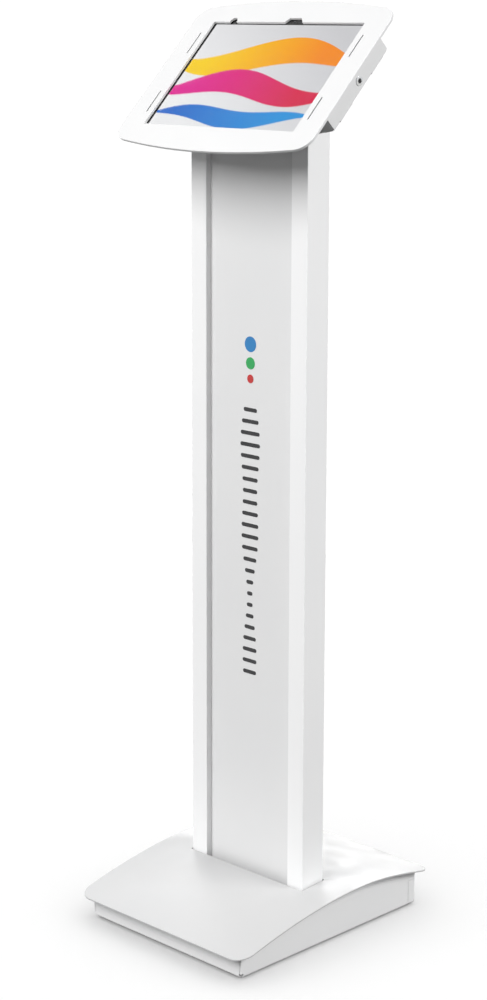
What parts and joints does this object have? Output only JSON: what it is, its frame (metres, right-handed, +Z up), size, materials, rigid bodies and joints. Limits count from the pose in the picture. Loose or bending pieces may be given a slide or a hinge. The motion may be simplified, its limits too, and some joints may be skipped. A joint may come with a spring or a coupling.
{
  "type": "touchscreen kiosk",
  "caption": "Free-standing tablet kiosk: tilted locking enclosure on a slim column with a recessed front panel and a weighted, curved base.",
  "frame": {"origin": "on the floor, under the centre of the base", "axes": "+Z up, +X to the user's right, -Y towards the user"},
  "size_m": [0.3, 0.329, 1.0717],
  "materials": {
    "white_paint": "white powder coat, fine texture",
    "dark_steel": "black primer on plate steel",
    "zinc_steel": "zinc plated",
    "insert_aluminium": "mill finish",
    "black_rubber": "matte moulded rubber",
    "black_foam": "closed-cell foam",
    "lock_black": "blackened",
    "tablet_aluminium": "fine blasted, anodised",
    "tablet_glass": "clear polished",
    "display": "lit display panel",
    "battery_black": "satin",
    "board_green": "solder mask",
    "vinyl_blue": "satin cut vinyl",
    "vinyl_green": "satin cut vinyl",
    "vinyl_red": "satin cut vinyl",
    "vinyl_black": "satin cut vinyl"
  },
  "bodies": {
    "stand": {"base_tray": "white_paint", "base_rear_wall": "white_paint", "base_cover": "white_paint", "cover_rib_left": "white_paint", "cover_rib_right": "white_paint", "post_left": "white_paint", "post_right": "white_paint", "front_panel": "white_paint", "rear_panel": "white_paint", "head_plate": "white_paint", "rear_shell": "white_paint", "tablet_tray": "white_paint", "hinge_leaf_fixed": "white_paint", "ballast_plate": "dark_steel", "foot_plate": "dark_steel", "cover_studs": "zinc_steel", "cover_nuts": "zinc_steel", "ballast_screws": "zinc_steel", "foot_bolts": "zinc_steel", "foot_washers": "zinc_steel", "insert_screws": "zinc_steel", "rear_panel_screws": "zinc_steel", "tie_webs": "zinc_steel", "tie_ears": "zinc_steel", "tie_screws": "zinc_steel", "head_screws": "zinc_steel", "vesa_bolts": "zinc_steel", "vesa_nuts": "zinc_steel", "hinge_pin": "zinc_steel", "lock_nut": "zinc_steel", "lock_barrel": "zinc_steel", "lower_inserts": "insert_aluminium", "upper_inserts": "insert_aluminium", "rubber_feet": "black_rubber", "cable_bush": "black_rubber", "cable_grommet": "black_rubber", "back_pads": "black_foam", "edge_pads": "black_foam", "tablet_housing": "tablet_aluminium", "tablet_glass": "tablet_glass", "tablet_display": "display", "tablet_battery": "battery_black", "tablet_speakers": "battery_black", "front_camera": "battery_black", "rear_camera": "battery_black", "tablet_logic_board": "board_green", "motif_dot_blue": "vinyl_blue", "motif_dot_green": "vinyl_green", "motif_dot_red": "vinyl_red", "motif_bars": "vinyl_black"},
    "faceplate": {"faceplate": "white_paint", "window_gasket": "black_foam", "strike_hook": "white_paint", "hinge_leaf_moving": "white_paint"},
    "lock_cylinder": {"lock_plug": "lock_black", "lock_cam": "zinc_steel", "cam_screw": "zinc_steel"},
    "top_button": {"top_button": "tablet_aluminium"},
    "volume_up": {"volume_up": "tablet_aluminium"},
    "volume_down": {"volume_down": "tablet_aluminium"}
  },
  "joints": [
    {"name": "faceplate_hinge", "type": "hinge", "parent": "stand", "child": "faceplate", "pos_m": [-0.137, 0.00133, 0.99689], "axis": [0, -0.7071, -0.7071], "range_deg": [0, 100]},
    {"name": "lock_turn", "type": "hinge", "parent": "stand", "child": "lock_cylinder", "pos_m": [0.131, 0.01608, 0.98745], "axis": [1, 0, 0], "range_deg": [0, 90]},
    {"name": "top_button_press", "type": "slide", "parent": "stand", "child": "top_button", "axis": [-1, 0, 0], "range_m": [0, 0.0004], "stiffness_N_per_m": 1200, "springref_m": -0.0005},
    {"name": "volume_up_press", "type": "slide", "parent": "stand", "child": "volume_up", "axis": [0, -0.7071, -0.7071], "range_m": [0, 0.0004], "stiffness_N_per_m": 1200, "springref_m": -0.0005},
    {"name": "volume_down_press", "type": "slide", "parent": "stand", "child": "volume_down", "axis": [0, -0.7071, -0.7071], "range_m": [0, 0.0004], "stiffness_N_per_m": 1200, "springref_m": -0.0005}
  ]
}
